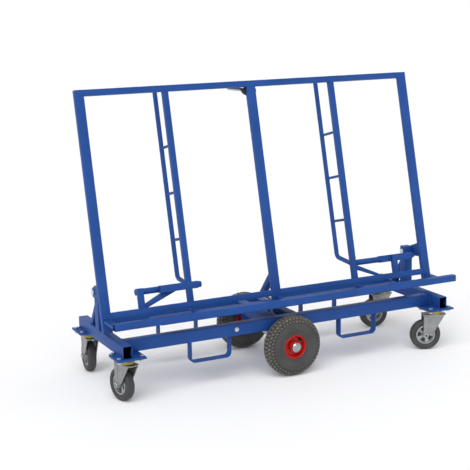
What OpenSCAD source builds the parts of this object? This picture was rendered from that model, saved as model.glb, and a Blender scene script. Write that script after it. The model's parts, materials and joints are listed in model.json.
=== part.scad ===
// Drywall cart: a wheeled steel base with a tilting rack that carries boards on edge.
// Millimetres, +Z up, +X along the cart, -Y the side the boards are loaded from.
// Origin: on the floor, in the middle of the cart's overall length and depth.

/* [Base] */
// Length of the base over its two cross tubes
base_l = 1552; // [1300:1:1700]
// Length of each cross tube, front to rear
base_w = 528; // [500:1:600]
// Width of the base tubes
tube_w = 40; // [30:1:50]
// Height of the base tubes
tube_h = 50; // [40:1:60]
// Wall of the base tubes
tube_t = 3; // [2:0.5:4]
// Distance of each long rail's centre from the ends of the cross tubes
rail_set = 95; // [90:1:104]
// Distance of each centre member from the middle of the base
member_x = 49; // [40:1:70]

/* [Fork loops] */
// Distance of each loop's inner leg from the middle of the cart
loop_in = 267; // [240:1:300]
// Distance of each loop's outer leg from the middle of the cart
loop_out = 448; // [400:1:500]
// Height of the loops' underside above the floor
loop_z = 106; // [90:1:130]
// Thickness of the loops' flat bar
loop_t = 7; // [5:0.5:8]
// Width of the loops' flat bar
loop_w = 32; // [25:1:40]
// Inner bend radius of the loops
loop_r = 16; // [10:1:24]

/* [Centre wheels] */
// Diameter of the air-filled tyres
wheel_d = 260; // [240:1:280]
// Width of the air-filled tyres
wheel_w = 76; // [60:1:76]
// Gap between a tyre and the long rail beside it
wheel_gap = 4; // [2:1:12]
// Diameter of the rim where the tyre sits on it
rim_d = 104; // [90:1:130]
// Width of the rim between its lips
rim_w = 54; // [40:1:56]
// Diameter of the hub
hub_d = 46; // [40:1:60]
// Diameter of the axle
axle_d = 20; // [16:1:25]
// Diameter of the hub caps
cap_d = 43; // [41:1:45]
// Length of the hub caps
cap_l = 15; // [13:1:20]
// Thickness of the axle hangers
hanger_t = 10; // [6:1:14]
// Width of the axle hangers at the rail
hanger_w = 96; // [70:1:130]

/* [Castors] */
// Distance of the swivel axes from the base's ends
castor_set_x = 33; // [25:1:45]
// Distance of the swivel axes from the ends of the cross tubes
castor_set_y = 46; // [40:1:55]
// Diameter of the castor wheels
castor_d = 138; // [120:1:150]
// Width of the castor wheels
castor_w = 38; // [30:1:44]
// Height of a castor from the floor to its mounting face
castor_h = 189; // [182:1:205]
// Trail of the wheel behind the swivel axis
castor_trail = 42; // [35:1:50]
// Side of the corner plates
corner_s = 122; // [112:1:126]
// Thickness of the corner plates
corner_t = 8; // [5:1:10]
// Cut on the outer corner of the corner plates
corner_cut = 18; // [10:1:20]
// Diameter of the swivel head
head_d = 94; // [80:1:100]
// Height of the swivel head with its plate
head_h = 24; // [20:1:28]
// Thickness of the fork's sheet
fork_t = 4; // [3:0.5:6]
// Reach of the fork's crown ahead of the swivel axis
fork_lead = 50; // [44:1:54]
// Diameter of the castor axles
castor_axle_d = 12; // [10:1:14]
// Swing angle of the front left castor, in degrees
fl_angle = 13; // [-180:1:180]
// Swing angle of the front right castor, in degrees
fr_angle = 67; // [-180:1:180]
// Swing angle of the rear left castor, in degrees
rl_angle = -5; // [-180:1:180]
// Swing angle of the rear right castor, in degrees
rr_angle = 80; // [-180:1:180]
// Bolt spacing of the swivel heads, along the cart
bolt_x = 95; // [90:1:100]
// Bolt spacing of the swivel heads, front to rear
bolt_y = 75; // [68:1:78]
// Diameter of the castor bolts
bolt_d = 10; // [8:1:10]

/* [Stand] */
// Side of the square uprights
upright_s = 40; // [30:1:40]
// Distance of the uprights' centres behind the middle of the base
upright_y = 30; // [10:1:45]
// Height of the tilt axis above the floor
hinge_z = 405; // [395:1:430]
// Height of the uprights above the tilt axis
upright_over = 24; // [18:1:30]
// Diameter of the hinge pins
pin_d = 16; // [12:1:20]
// Thickness of the hinge ears
ear_t = 8; // [6:1:10]
// Gap between an ear and its upright
ear_gap = 1; // [0.5:0.5:3]
// Distance of the braces' feet behind the uprights
brace_run = 58; // [40:1:75]
// Height of the braces' lower corner on the uprights, above the tubes
brace_rise = 86; // [60:1:110]
// Thickness of the braces
brace_t = 20; // [15:1:25]
// Width of the braces
brace_w = 30; // [20:1:40]

/* [Rack] */
// Overhang of the rack past the base at either end
rack_side = 24; // [15:1:34]
// Lean of the rack from the vertical, in degrees
rack_lean = 13.7; // [10:0.1:18]
// Distance of the rack's front plane ahead of the tilt axis
rack_front = 109; // [100:1:118]
// Length of the rack above the tilt axis
rack_up = 822; // [700:1:950]
// Length of the end posts below the tilt axis
post_low = 168; // [150:1:180]
// Width of the end posts and the centre post
post_w = 40; // [30:1:44]
// Thickness of the rack's tubes
post_t = 20; // [18:1:25]
// Wall of the rack's tubes
post_wall = 2; // [1.5:0.5:3]
// Height of the top rail
top_h = 26; // [20:1:40]
// Distance of the inner posts from the middle, as a share of the rack's half width
inner_share = 0.5025; // [0.48:0.0025:0.52]
// Width of the inner posts
inner_w = 20; // [16:1:25]
// Distance of the back rail's top below the tilt axis
back_drop = 88; // [80:1:95]
// Height of the back rail
back_h = 26; // [20:1:28]
// Length of the centre post below the tilt axis
centre_low = 130; // [126:1:140]
// Diameter of the truss rods behind the inner posts
rod_d = 15; // [10:1:20]
// Distance of the truss rods behind the rack's front plane
rod_back = 115; // [90:1:130]
// Number of struts between each truss rod and its post
rod_struts = 5; // [3:1:7]
// Diameter of the struts between truss rod and post
strut_d = 12; // [8:1:14]

/* [Tray] */
// Distance of the tray rail's front face ahead of the tilt axis
tray_reach = 278; // [250:1:300]
// Distance of the tray rail's top below the tilt axis
tray_drop = 69; // [62:1:74]
// Height of the tray rail
tray_h = 28; // [24:1:32]
// Depth of the tray rail
tray_d = 26; // [20:1:30]
// Length of the tray rail past the right end post
tray_over = 37; // [20:1:60]
// Height of the tray's arms
arm_h = 12; // [8:1:16]
// Width of the tray's end arms
arm_w = 30; // [20:1:36]
// Width of the tray's inner arms
arm_in_w = 20; // [15:1:30]
// Length of the tray's floor
floor_l = 1200; // [900:1:1400]
// Thickness of the tray's floor
floor_t = 3; // [2:0.5:5]

/* [Board rests] */
// Distance of the rest posts from the end posts
rest_set = 140; // [135:1:160]
// Width of the rest posts
rest_w = 25; // [20:1:30]
// Distance of the rests' centre line below the tilt axis
rest_drop = 21; // [14:1:26]
// Side of the rest bars
bar_s = 30; // [26:1:36]
// Length of the rest bars without their tips
bar_l = 170; // [150:1:190]
// Length of the rest bars' tips
tip_l = 17; // [10:1:25]
// Diameter of the rest bars' tips
tip_d = 20; // [14:1:24]
// Start of the left rest bar, inside the post that carries it
bar_left_set = 88; // [70:1:110]
// Start of the right rest bar, inside the post that carries it
bar_right_set = 62; // [50:1:80]
// Diameter of the rest tubes
rest_tube_d = 26; // [20:1:30]
// Overhang of a rest tube past the post that carries it
rest_tube_over = 12; // [5:1:20]
// Thickness of the rest diagonals
diag_t = 16; // [12:1:20]

/* [Centre stop] */
// Width of the centre strut
stay_w = 25; // [20:1:35]
// Distance behind the tilt axis that the stop bracket reaches
stop_back = 16; // [10:1:25]
// Width of the stop bracket
stop_w = 56; // [40:1:58]
// Thickness of the stop bracket
stop_t = 5; // [4:1:8]
// Distance of the stop rod ahead of the tilt axis
stop_ahead = 78; // [70:1:85]
// Diameter of the stop rod
stop_d = 14; // [10:1:18]
// Diameter of the stop foot
foot_d = 28; // [22:1:34]
// Height of the stop foot
foot_h = 10; // [6:1:14]
// Gap between the stop foot and the plate it comes down on
foot_gap = 0.4; // [0.3:0.1:2]
// Thickness of the stop plate in the base
plate_t = 6; // [4:1:10]
// Distance of the stop plate's underside above the tubes' underside
plate_up = 12; // [6:1:20]

/* [Latch] */
// Distance of the latch's pivot below the rack's top
latch_drop = 50; // [44:1:56]
// Diameter of the latch knob
latch_d = 68; // [60:1:74]
// Thickness of the latch knob
latch_t = 14; // [10:1:18]
// Reach of the latch lever from its pivot
lever_l = 100; // [85:1:120]
// Width of the latch lever
lever_h = 15; // [12:1:18]
// Thickness of the latch lever
lever_t = 5; // [4:1:8]
// Height of the latch lever above its pivot
lever_up = 12; // [8:1:14]
// Diameter of the latch pivot
latch_pin_d = 10; // [8:1:12]

/* [Fits] */
// Radial running clearance of the shafts
run_gap = 0.05; // [0.02:0.01:0.1]
// Side clearance between turning parts
side_gap = 0.5; // [0.3:0.1:1]
// Radial clearance of the bolt holes
bolt_gap = 0.4; // [0.3:0.1:0.8]

/* [Hidden] */
// Overrun of every cut
over = 1;
// Facets of round parts
fine = 96;
small = 48;
// Shares of other sizes
half_share = 1 / 2;
hex_share = 2 / sqrt(3);
hanger_share = 0.55;
hang_share = 1.3;
dome_share = 0.65;
face_share = 0.66;
wall_share = 0.15;
lip_share = 0.1;
bead_share = 0.16;
hub_share = 0.86;
nut_share = 1.5;
thin_share = 0.4;
head_share = 0.6;
flats_share = 1.6;
king_share = 0.18;
sheet_share = 0.2;
ring_share = 0.66;
neck_share = 0.86;
boss_share = 1.2;
ear_share = 1.4;
ear_foot_share = 1.5;
castor_rim_share = 0.62;
castor_seat_share = 0.8;
castor_ring_share = 0.14;
seat_share = 0.96;
castor_web_share = 0.5;
window_share = 0.56;
window_edge_share = 0.1;
nose_share = 0.3;
throat_share = 0.47;
heel_share = 0.1;
waist_share = 0.18;
diag_foot_share = 1.2;
diag_head_share = 1.4;
diag_end_share = 0.2;
diag_wide_share = 1.5;
diag_near_share = 0.3;
diag_far_share = 0.45;
stay_rise_share = 1.15;
stay_foot_share = 1.3;
stay_head_share = 1.5;
lever_boss_share = 3.4;
// Spokes of a castor wheel
spokes = 5;
// Roundness of the tyres' sections, their steps and how far they wrap, in degrees
tyre_round = 0.85;
castor_round = 0.55;
wrap_steps = 36;
tyre_wrap = 127;
castor_wrap = 140;

// Half of a rounded section, from side to side over its crown
function signed_pow(v, power) = sign(v) * pow(abs(v), power);
function section(mid, deep, side, wrap, power) =
    [for (i = [0 : wrap_steps]) let (a = -wrap + (wrap + wrap) * i / wrap_steps)
        [mid + deep * signed_pow(cos(a), power), side * signed_pow(sin(a), power)]];

half_l = base_l * half_share;
half_w = base_w * half_share;
cross_x = half_l - tube_w * half_share;
tube_z = castor_h + corner_t;
tube_top = tube_z + tube_h;
rail_y = half_w - rail_set;
rail_face = rail_y + tube_w * half_share;
rail_in = rail_y - tube_w * half_share;
rail_half = half_l - tube_w;

wheel_r = wheel_d * half_share;
wheel_y = rail_face + wheel_gap + wheel_w * half_share;
axle_r = axle_d * half_share;
hub_l = wheel_w * hub_share;
hub_half = hub_l * half_share;
nut_d = axle_d * nut_share;
nut_h = axle_d * thin_share;
rim_r = rim_d * half_share;
rim_t = rim_w * lip_share;
tyre_section = section((rim_r + wheel_r) * half_share, (wheel_r - rim_r) * half_share, wheel_w * half_share,
    tyre_wrap, tyre_round);

castor_x = half_l - castor_set_x;
castor_y = half_w - castor_set_y;
castor_r = castor_d * half_share;
castor_half = castor_w * half_share;
castor_rim_r = castor_r * castor_rim_share;
castor_section = section((castor_rim_r + castor_r) * half_share, (castor_r - castor_rim_r) * half_share,
    castor_half, castor_wrap, castor_round);
castor_hub_r = castor_axle_d * boss_share;
fork_in = castor_half + fork_t;
king_d = head_d * king_share;
ring_d = head_d * ring_share;
head_plate_t = head_h * sheet_share;
bolt_head = bolt_d * head_share;
bolt_af = bolt_d * flats_share;
crown_z = castor_h - head_h - side_gap;

// Reach of a castor's wheel behind its swivel axis
function swing_reach(angle) =
    castor_trail * cos(angle)
    + max([for (p = castor_section) p[0] * abs(cos(angle)) + abs(p[1] * sin(angle))]);

corner_edge = castor_y + corner_s * half_share;
front_reach = max(corner_edge, half_w, tray_reach - upright_y, wheel_y + hub_half + cap_l);
rear_reach = castor_y + max(swing_reach(rl_angle), swing_reach(rr_angle));
shift_y = (front_reach - rear_reach) * half_share;

lean_sin = sin(rack_lean);
lean_cos = cos(rack_lean);
upright_x = cross_x;
upright_out = upright_x + upright_s * half_share;
upright_top = hinge_z + upright_over;
upright_rear = upright_y + upright_s * half_share;
brace_turn = atan(brace_run / brace_rise);
ear_x = upright_out + ear_gap;
ear_r = pin_d * ear_share;
pin_head = pin_d * thin_share;

rack_half = half_l + rack_side;
rack_w = rack_half + rack_half;
inner_x = rack_half * inner_share;
side_reach = castor_x + corner_s * half_share;
shift_x = (max(side_reach, rack_half) - max(side_reach, rack_half + tray_over)) * half_share;
post_x = rack_half - post_w * half_share;
post_in = rack_half - post_w;
rest_x = post_in - rest_set;
bar_left = rest_x - bar_left_set;
bar_right = rest_x - bar_right_set;
front = -rack_front;
rear = post_t - rack_front;
top_low = rack_up - top_h;
back_low = -back_drop - back_h;

tray_top = hinge_z - tray_drop;
tray_low = tray_top - tray_h;
tray_front = upright_y - tray_reach;
tray_rear = tray_front + tray_d;
stop_top = hinge_z - centre_low * lean_cos + rack_front * lean_sin - post_t * lean_sin;
stop_low = stop_top - stop_t;
stop_plate_z = tube_z + plate_up;
foot_z = stop_plate_z + plate_t + foot_gap;
member_in = member_x - tube_w * half_share;

rest_y = rear + bar_s * half_share;
rest_tube_y = rear + rest_tube_d * half_share;
latch_v = rack_up - latch_drop;

CORNERS = [[-1, -1], [1, -1], [-1, 1], [1, 1]];
SIDES = [-1, 1];
BLUE = [0.10, 0.22, 0.46];
ZINC = [0.62, 0.64, 0.66];
YELLOW = [0.72, 0.62, 0.36];
RUBBER = [0.10, 0.10, 0.11];
RED = [0.66, 0.08, 0.07];
ALLOY = [0.78, 0.79, 0.80];

// The cart's own frame: X and Y from the middle of the base, Z from the floor
module cart() {
    translate([shift_x, shift_y, 0]) children();
}

// The rack's frame: on the tilt axis, Y square to the rack's plane, Z up along the rack
module rack() {
    cart() translate([0, upright_y, hinge_z]) rotate([-rack_lean, 0, 0]) children();
}

// One castor's frame, on its swivel axis at the floor, with +Y the way the wheel trails
module castor(side_x, side_y, turn) {
    cart() translate([side_x * castor_x, side_y * castor_y, 0]) rotate([0, 0, turn]) children();
}

// Block from its low corner
module block(x0, x1, y0, y1, z0, z1) {
    translate([x0, y0, z0]) cube([x1 - x0, y1 - y0, z1 - z0]);
}

// Rectangular tube along X, open at both ends
module tube_x(x0, x1, y0, y1, z0, z1, wall) {
    difference() {
        block(x0, x1, y0, y1, z0, z1);
        block(x0 - over, x1 + over, y0 + wall, y1 - wall, z0 + wall, z1 - wall);
    }
}

// Rectangular tube along Y, open at both ends
module tube_y(x0, x1, y0, y1, z0, z1, wall) {
    difference() {
        block(x0, x1, y0, y1, z0, z1);
        block(x0 + wall, x1 - wall, y0 - over, y1 + over, z0 + wall, z1 - wall);
    }
}

// Rectangular tube along Z, open at both ends
module tube_up(x0, x1, y0, y1, z0, z1, wall) {
    difference() {
        block(x0, x1, y0, y1, z0, z1);
        block(x0 + wall, x1 - wall, y0 + wall, y1 - wall, z0 - over, z1 + over);
    }
}

// Round bar along X
module rod_x(x0, x1, y, z, d) {
    translate([x0, y, z]) rotate([0, 90, 0]) cylinder(d = d, h = x1 - x0, $fn = small);
}

// Round bar along Y
module rod_y(y0, y1, x, z, d) {
    translate([x, y0, z]) rotate([-90, 0, 0]) cylinder(d = d, h = y1 - y0, $fn = small);
}

// Hexagon head, upright, across flats
module hex(af, h) {
    cylinder(d = af * hex_share, h = h, $fn = 6);
}

// Base

module cross_tube(side) {
    color(BLUE) cart()
        tube_y(side * cross_x - tube_w * half_share, side * cross_x + tube_w * half_share,
            -half_w, half_w, tube_z, tube_top, tube_t);
}

module long_rail(side) {
    color(BLUE) cart()
        tube_x(-rail_half, rail_half,
            side * rail_y - tube_w * half_share, side * rail_y + tube_w * half_share,
            tube_z, tube_top, tube_t);
}

module centre_members() {
    color(BLUE) cart()
        for (s = SIDES)
            tube_y(s * member_x - tube_w * half_share, s * member_x + tube_w * half_share,
                -rail_in, rail_in, tube_z, tube_top, tube_t);
}

module stop_plate() {
    color(BLUE) cart()
        block(-member_in, member_in, upright_y - stop_ahead - foot_d, upright_y - stop_ahead + foot_d,
            stop_plate_z, stop_plate_z + plate_t);
}

// U-bent flat bar hung under a long rail
module fork_loop(side_x, side_y) {
    bend = loop_r + loop_t;
    mid = (loop_in + loop_out) * half_share;
    reach = (loop_out - loop_in + loop_t) * half_share;
    color(BLUE) cart() translate([side_x * mid, side_y * rail_y, loop_z]) {
        for (s = SIDES)
            mirror([s > 0 ? 1 : 0, 0, 0]) {
                block(-reach, loop_t - reach, -loop_w * half_share, loop_w * half_share,
                    bend, tube_z - loop_z);
                translate([bend - reach, loop_w * half_share, bend]) rotate([90, 0, 0]) rotate([0, 0, 180])
                    rotate_extrude(angle = 90, $fn = fine) translate([loop_r, 0]) square([loop_t, loop_w]);
            }
        block(bend - reach, reach - bend, -loop_w * half_share, loop_w * half_share, 0, loop_t);
    }
}

module corner_plates() {
    e = corner_s * half_share;
    color(BLUE) cart()
        for (c = CORNERS)
            translate([c[0] * castor_x, c[1] * castor_y, castor_h]) difference() {
                mirror([c[0] < 0 ? 1 : 0, 0, 0]) mirror([0, c[1] < 0 ? 1 : 0, 0]) linear_extrude(corner_t)
                    polygon([[-e, -e], [e - corner_cut, -e], [e, corner_cut - e], [e, e], [-e, e]]);
                bolt_holes(corner_t);
            }
}

// The four bolt holes of a castor, cut down from h to zero
module bolt_holes(h) {
    for (c = CORNERS)
        translate([c[0] * bolt_x * half_share, c[1] * bolt_y * half_share, -over])
            cylinder(d = bolt_d + bolt_gap + bolt_gap, h = h + over + over, $fn = small);
}

module castor_heads() {
    plate_x = bolt_x * half_share + bolt_d;
    plate_y = bolt_y * half_share + bolt_d;
    race = head_h - head_plate_t;
    color(YELLOW) cart()
        for (c = CORNERS)
            translate([c[0] * castor_x, c[1] * castor_y, castor_h - head_h]) {
                difference() {
                    translate([0, 0, race]) block(-plate_x, plate_x, -plate_y, plate_y, 0, head_plate_t);
                    translate([0, 0, race]) bolt_holes(head_plate_t);
                }
                cylinder(d1 = ring_d, d2 = ring_d * neck_share, h = race, $fn = fine);
                translate([0, 0, race * half_share]) cylinder(d = ring_d, h = race * half_share, $fn = fine);
                translate([0, 0, -fork_t - side_gap - side_gap])
                    cylinder(d = king_d, h = fork_t + side_gap + side_gap + over, $fn = small);
                translate([0, 0, -fork_t - side_gap - side_gap - king_d * half_share])
                    cylinder(d = king_d * flats_share, h = king_d * half_share, $fn = small);
            }
}

// Bolts through head plate and corner plate, with their nuts except under the long rails
module castor_bolts() {
    color(ZINC) cart()
        for (c = CORNERS, b = CORNERS)
            translate([c[0] * (castor_x + b[0] * bolt_x * half_share),
                c[1] * (castor_y + b[1] * bolt_y * half_share), castor_h - head_plate_t]) {
                translate([0, 0, -bolt_head]) hex(bolt_af, bolt_head);
                cylinder(d = bolt_d, h = head_plate_t + corner_t, $fn = small);
                if (b[0] > 0 || b[1] > 0) translate([0, 0, head_plate_t + corner_t]) hex(bolt_af, bolt_head);
            }
}

// Stand

module upright(side) {
    x0 = side * upright_x - upright_s * half_share;
    x1 = side * upright_x + upright_s * half_share;
    y0 = upright_y - upright_s * half_share;
    color(BLUE) cart() difference() {
        block(x0, x1, y0, upright_rear, tube_top, upright_top);
        block(x0 + tube_t, x1 - tube_t, y0 + tube_t, upright_rear - tube_t,
            tube_top - over, upright_top - tube_t);
        rod_x(side * upright_x - upright_s, side * upright_x + upright_s, upright_y, hinge_z, pin_d);
    }
}

module braces() {
    color(BLUE) cart()
        for (s = SIDES)
            translate([s * upright_x + brace_w * half_share, upright_rear, tube_top]) rotate([90, 0, -90])
                mirror([1, 0, 0]) linear_extrude(brace_w)
                polygon([[0, brace_rise], [0, brace_rise + brace_t / sin(brace_turn)],
                    [brace_run + brace_t / cos(brace_turn), 0], [brace_run, 0]]);
}

module hinge_pins() {
    inner = upright_x - upright_s * half_share;
    outer = ear_x + ear_t + side_gap;
    color(ZINC) cart()
        for (s = SIDES) {
            mirror([s > 0 ? 0 : 1, 0, 0]) {
                rod_x(inner - pin_head, outer + over, upright_y, hinge_z, pin_d);
                rod_x(outer, outer + pin_head, upright_y, hinge_z, pin_d * flats_share);
                rod_x(inner - pin_head, inner, upright_y, hinge_z, pin_d * flats_share);
            }
        }
}

// Centre wheels

module axle_hangers() {
    low = wheel_r - axle_d * hang_share;
    e = hanger_w * half_share;
    color(BLUE) cart()
        for (s = SIDES)
            difference() {
                translate([0, s * rail_y + hanger_t * half_share, 0]) rotate([90, 0, 0])
                    linear_extrude(hanger_t)
                    polygon([[-e, tube_z], [e, tube_z], [e * hanger_share, low], [-e * hanger_share, low]]);
                rod_y(s * rail_y - hanger_t, s * rail_y + hanger_t, 0, wheel_r, axle_d);
            }
}

module axle() {
    tip = wheel_y + hub_half + side_gap + nut_h;
    color(ZINC) cart() {
        rod_y(-tip, tip, 0, wheel_r, axle_d);
        for (s = SIDES)
            rod_y(s * (wheel_y - hub_half - side_gap) - (s > 0 ? axle_r : 0),
                s * (wheel_y - hub_half - side_gap) + (s > 0 ? 0 : axle_r), 0, wheel_r, axle_d * nut_share);
    }
}

module axle_nuts() {
    color(ZINC) cart()
        for (s = SIDES)
            translate([0, s * (wheel_y + hub_half + side_gap), wheel_r]) rotate([-s * 90, 0, 0])
                difference() {
                    hex(nut_d, nut_h);
                    translate([0, 0, -over]) cylinder(d = axle_d, h = nut_h + over + over, $fn = small);
                }
}

// One centre wheel's frame: Z along the axle, pointing away from the cart
module wheel(side) {
    cart() translate([0, side * wheel_y, wheel_r]) rotate([-side * 90, 0, 0]) children();
}

module tyre(side) {
    seat = rim_w * half_share;
    bead = rim_r + (wheel_r - rim_r) * bead_share;
    color(RUBBER) wheel(side) rotate_extrude($fn = fine)
        polygon(concat([[rim_r, -seat], [bead, -seat]], tyre_section, [[bead, seat], [rim_r, seat]]));
}

module wheel_rim(side) {
    h = rim_w * half_share;
    color(RED) wheel(side) rotate_extrude($fn = fine)
        polygon([[axle_r + run_gap, -hub_half], [hub_d * half_share, -hub_half], [hub_d * half_share, -rim_t],
            [rim_r - rim_t - rim_t, -rim_t], [rim_r - rim_t, -h - rim_t], [rim_r + rim_t, -h - rim_t],
            [rim_r + rim_t, -h], [rim_r, -h], [rim_r, h], [rim_r + rim_t, h], [rim_r + rim_t, h + rim_t],
            [rim_r - rim_t, h + rim_t], [rim_r - rim_t - rim_t, rim_t], [hub_d * half_share, rim_t],
            [hub_d * half_share, hub_half], [axle_r + run_gap, hub_half]]);
}

module hub_cap(side) {
    r = cap_d * half_share;
    wall = cap_l * wall_share;
    side_l = cap_l * dome_share;
    color(ALLOY) wheel(side) translate([0, 0, hub_half]) rotate_extrude($fn = fine)
        polygon([[r - wall, 0], [r, 0], [r, side_l], [r * face_share, cap_l], [0, cap_l], [0, cap_l - wall],
            [r * face_share - wall, cap_l - wall], [r - wall, side_l - wall]]);
}

// Castors

module castor_fork(side_x, side_y, turn) {
    boss_r = castor_axle_d;
    lip = fork_t * half_share * half_share;
    wide = fork_in + fork_t + lip;
    tail = castor_trail + boss_r + lip;
    nose = fork_in * half_share;
    color(ZINC) castor(side_x, side_y, turn) {
        difference() {
            translate([0, 0, crown_z - fork_t]) linear_extrude(fork_t)
                polygon([[-wide, tail], [-wide, nose - fork_lead], [nose - wide, -fork_lead],
                    [wide - nose, -fork_lead], [wide, nose - fork_lead], [wide, tail]]);
            translate([0, 0, crown_z - fork_t - over])
                cylinder(d = king_d + run_gap + run_gap, h = fork_t + over + over, $fn = small);
        }
        for (s = SIDES)
            translate([s * (fork_in + fork_t * half_share) + fork_t * half_share, 0, 0]) rotate([90, 0, -90])
                mirror([1, 0, 0]) linear_extrude(fork_t) fork_side(fork_lead - nose, boss_r);
        rod_x(-fork_in - fork_t - over, fork_in + fork_t + over, castor_trail, castor_r, castor_axle_d);
        for (s = SIDES)
            translate([s * (fork_in + fork_t), castor_trail, castor_r]) rotate([0, s * 90, 0])
                hex(castor_axle_d * flats_share, castor_axle_d * half_share);
    }
}

// Outline of a fork leg, seen along the axle: straight behind, drawn in ahead of the wheel's axle
module fork_side(lead, boss_r) {
    top = crown_z - fork_t * half_share;
    drop = crown_z - fork_t - castor_r;
    polygon([[-lead, top], [castor_trail + boss_r, top], [castor_trail + boss_r, castor_r],
        [castor_trail - boss_r, castor_r], [castor_trail * heel_share, castor_r + drop * waist_share],
        [-lead * nose_share, castor_r + drop * throat_share], [-lead, castor_r + drop - fork_t]]);
    translate([castor_trail, castor_r]) circle(r = boss_r, $fn = small);
}

// One castor wheel's frame: Z along its axle
module castor_wheel(side_x, side_y, turn) {
    castor(side_x, side_y, turn) translate([0, castor_trail, castor_r]) rotate([0, 90, 0]) children();
}

module castor_tyre(side_x, side_y, turn) {
    seat = castor_half * castor_seat_share * seat_share;
    color(RUBBER) castor_wheel(side_x, side_y, turn) rotate_extrude($fn = fine)
        polygon(concat([[castor_rim_r, -seat]], castor_section, [[castor_rim_r, seat]]));
}

// Cast wheel: a ring, a web with windows between its spokes, and a hub
module castor_rim(side_x, side_y, turn) {
    half = castor_half * castor_seat_share;
    ring = castor_rim_r * castor_ring_share;
    ring_r = castor_rim_r - ring;
    hub_top = fork_in - side_gap;
    web = castor_half * castor_web_share;
    edge = (ring_r - castor_hub_r) * window_edge_share;
    pitch = 360 / spokes;
    color(ALLOY) castor_wheel(side_x, side_y, turn) difference() {
        union() {
            difference() {
                translate([0, 0, -half]) cylinder(r = castor_rim_r, h = half + half, $fn = fine);
                translate([0, 0, -half - over])
                    cylinder(r = ring_r, h = half + half + over + over, $fn = fine);
            }
            difference() {
                translate([0, 0, -web * half_share])
                    cylinder(r = ring_r + ring * half_share, h = web, $fn = fine);
                for (i = [0 : spokes - 1])
                    rotate([0, 0, i * pitch]) translate([0, 0, -web])
                        rotate_extrude(angle = pitch * window_share, $fn = fine)
                        translate([castor_hub_r + edge, 0])
                        square([ring_r - castor_hub_r - edge - edge, web + web]);
            }
            translate([0, 0, -hub_top]) cylinder(r = castor_hub_r, h = hub_top + hub_top, $fn = fine);
        }
        translate([0, 0, -hub_top - over])
            cylinder(d = castor_axle_d + run_gap + run_gap, h = hub_top + hub_top + over + over, $fn = small);
    }
}

// Rack

// Closed at its upper end
module end_post(side) {
    x0 = side * post_x - post_w * half_share;
    x1 = side * post_x + post_w * half_share;
    color(BLUE) rack() difference() {
        block(x0, x1, front, rear, -post_low, rack_up);
        block(x0 + post_wall, x1 - post_wall, front + post_wall, rear - post_wall,
            -post_low - over, rack_up - post_wall);
    }
}

module centre_post() {
    color(BLUE) rack()
        tube_up(-post_w * half_share, post_w * half_share, front, rear, -centre_low, top_low, post_wall);
}

module inner_post(side) {
    color(BLUE) rack()
        tube_up(side * inner_x - inner_w * half_share, side * inner_x + inner_w * half_share,
            front, rear, -back_drop, top_low, post_wall);
}

module top_rail() {
    color(BLUE) rack() tube_x(-post_in, post_in, front, rear, top_low, rack_up, post_wall);
}

module back_rail() {
    color(BLUE) rack()
        for (s = SIDES)
            mirror([s > 0 ? 0 : 1, 0, 0])
                tube_x(post_w * half_share, post_in, front, rear, back_low, -back_drop, post_wall);
}

// Round bar parallel to an inner post, held off it by short struts
module truss_rod(side) {
    rod_y0 = front + rod_back;
    low = -rest_drop;
    high = top_low - top_h;
    pitch = (high - low) / (rod_struts - 1);
    color(BLUE) rack() {
        translate([side * inner_x, rod_y0, low - rod_d]) cylinder(d = rod_d, h = high - low + rod_d + rod_d,
            $fn = small);
        for (i = [0 : rod_struts - 1])
            rod_y(rear, rod_y0, side * inner_x, i == 0 ? low + bar_s : low + i * pitch, strut_d);
    }
}

module hinge_ears() {
    foot = ear_r * ear_foot_share;
    color(BLUE) rack()
        for (s = SIDES)
            mirror([s > 0 ? 0 : 1, 0, 0])
                difference() {
                    translate([ear_x, 0, 0]) rotate([90, 0, 90]) linear_extrude(ear_t) {
                        polygon([[rear, -foot], [rear, foot], [0, ear_r], [0, -ear_r]]);
                        circle(r = ear_r, $fn = fine);
                    }
                    rod_x(ear_x - over, ear_x + ear_t + over, 0, 0, pin_d + run_gap + run_gap);
                }
}

// Tray

module tray_rail() {
    color(BLUE) cart()
        tube_x(-rack_half, rack_half + tray_over, tray_front, tray_rear, tray_low, tray_top, post_wall);
}

module tray_arms() {
    ends = [-post_x, -inner_x, 0, inner_x, post_x];
    color(BLUE) difference() {
        cart() for (x = ends) {
            w = abs(x) > inner_x ? arm_w : arm_in_w;
            block(x - w * half_share, x + w * half_share, tray_rear, upright_y, tray_low, tray_low + arm_h);
        }
        rack() block(-rack_w, rack_w, front, rack_front + rack_front, -rack_w, rack_w);
    }
}

module tray_floor() {
    color(BLUE) difference() {
        cart() block(-floor_l * half_share, floor_l * half_share, tray_front + floor_t, upright_y,
            tray_low - floor_t, tray_low);
        rack() block(-rack_w, rack_w, front, rack_front + rack_front, -rack_w, rack_w);
    }
}

// Board rests

module rest_posts() {
    color(BLUE) rack()
        for (s = SIDES)
            tube_up(s * rest_x - rest_w * half_share, s * rest_x + rest_w * half_share, front, rear,
                -back_drop, bar_s * half_share - rest_drop, post_wall);
}

module rest_tubes() {
    color(BLUE) rack() {
        rod_x(-rest_x - rest_w * half_share - rest_tube_over, -bar_left,
            rest_tube_y, -rest_drop, rest_tube_d);
        rod_x(inner_x - inner_w * half_share - rest_tube_over, bar_right,
            rest_tube_y, -rest_drop, rest_tube_d);
    }
}

module rest_bars() {
    color(BLUE) rack()
        for (x = [-bar_left, bar_right]) {
            block(x, x + bar_l, rear, rear + bar_s,
                -rest_drop - bar_s * half_share, -rest_drop + bar_s * half_share);
            rod_x(x + bar_l - over, x + bar_l + tip_l, rest_y, -rest_drop, tip_d);
        }
}

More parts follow.
